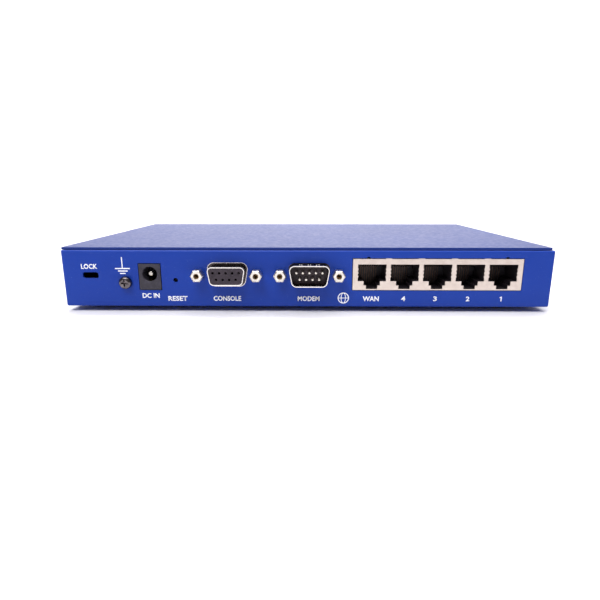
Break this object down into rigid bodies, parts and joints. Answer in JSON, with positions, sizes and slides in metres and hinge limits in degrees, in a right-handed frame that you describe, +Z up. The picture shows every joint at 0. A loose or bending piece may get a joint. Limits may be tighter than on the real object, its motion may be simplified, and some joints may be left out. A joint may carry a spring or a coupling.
{
  "type": "desktop firewall appliance",
  "caption": "Flat steel box with its ports on one long side: power inlet, earth screw, lock slot, reset pinhole, socket and plug D connectors, and a row of network jacks.",
  "frame": {"origin": "middle of the bounding box, level with the undersides of the feet", "axes": "+X right as seen by someone facing the ports, +Y from the port panel into the box, +Z up; the ports face -Y"},
  "size_m": [0.2104, 0.1328, 0.0282],
  "materials": {
    "blue_enamel": "semi-gloss powder coat",
    "zinc_steel": "zinc plated",
    "nickel_screw": "nickel plated",
    "nickel_contact": "nickel plated",
    "gold_contact": "gold flash",
    "tinned_steel": "tin plated, satin",
    "black_rubber": "matt",
    "green_laminate": "solder mask",
    "black_moulding": "fine texture",
    "grey_moulding": "fine texture",
    "clear_lens": "diffused",
    "chip_plastic": "moulding compound",
    "black_anodised": "black anodised",
    "can_aluminium": "drawn can",
    "ferrite": "sintered",
    "ceramic_chip": "ceramic"
  },
  "bodies": {
    "appliance": {"case_base": "blue_enamel", "top_cover": "blue_enamel", "cover_posts": "zinc_steel", "cover_screws": "zinc_steel", "rubber_feet": "black_rubber", "circuit_board": "green_laminate", "board_posts": "zinc_steel", "board_screws": "zinc_steel", "ground_screw": "nickel_screw", "ground_nut": "zinc_steel", "dc_jack_body": "black_moulding", "dc_jack_pin": "nickel_contact", "dc_jack_contact": "nickel_contact", "reset_switch_body": "black_moulding", "reset_bracket": "tinned_steel", "reset_dome": "nickel_contact", "console_shell": "tinned_steel", "console_insulator": "grey_moulding", "console_contacts": "nickel_contact", "console_jackscrews": "nickel_screw", "console_bracket": "tinned_steel", "modem_shell": "tinned_steel", "modem_insulator": "black_moulding", "modem_pins": "nickel_contact", "modem_jackscrews": "nickel_screw", "modem_bracket": "tinned_steel", "rj45_shield": "tinned_steel", "rj45_housing": "black_moulding", "rj45_contacts": "gold_contact", "lamp_housings": "black_moulding", "lamp_lenses": "clear_lens", "processor": "chip_plastic", "heatsink": "black_anodised", "memory_chips": "chip_plastic", "flash_chip": "chip_plastic", "memory_leads": "tinned_steel", "switch_chip": "chip_plastic", "switch_leads": "tinned_steel", "transceivers": "chip_plastic", "transceiver_leads": "tinned_steel", "magnetics": "chip_plastic", "uplink_magnetics": "chip_plastic", "crystals": "can_aluminium", "capacitor_bases": "black_moulding", "capacitors": "can_aluminium", "inductors": "ferrite", "regulator": "chip_plastic", "regulator_tab": "tinned_steel", "fuse": "chip_plastic", "passives": "ceramic_chip"},
    "reset_button": {"reset_plunger": "black_moulding"}
  },
  "joints": [
    {"name": "reset_press", "type": "slide", "parent": "appliance", "child": "reset_button", "axis": [0, 1, 0], "range_m": [0, 0.0003], "stiffness_N_per_m": 3000}
  ]
}
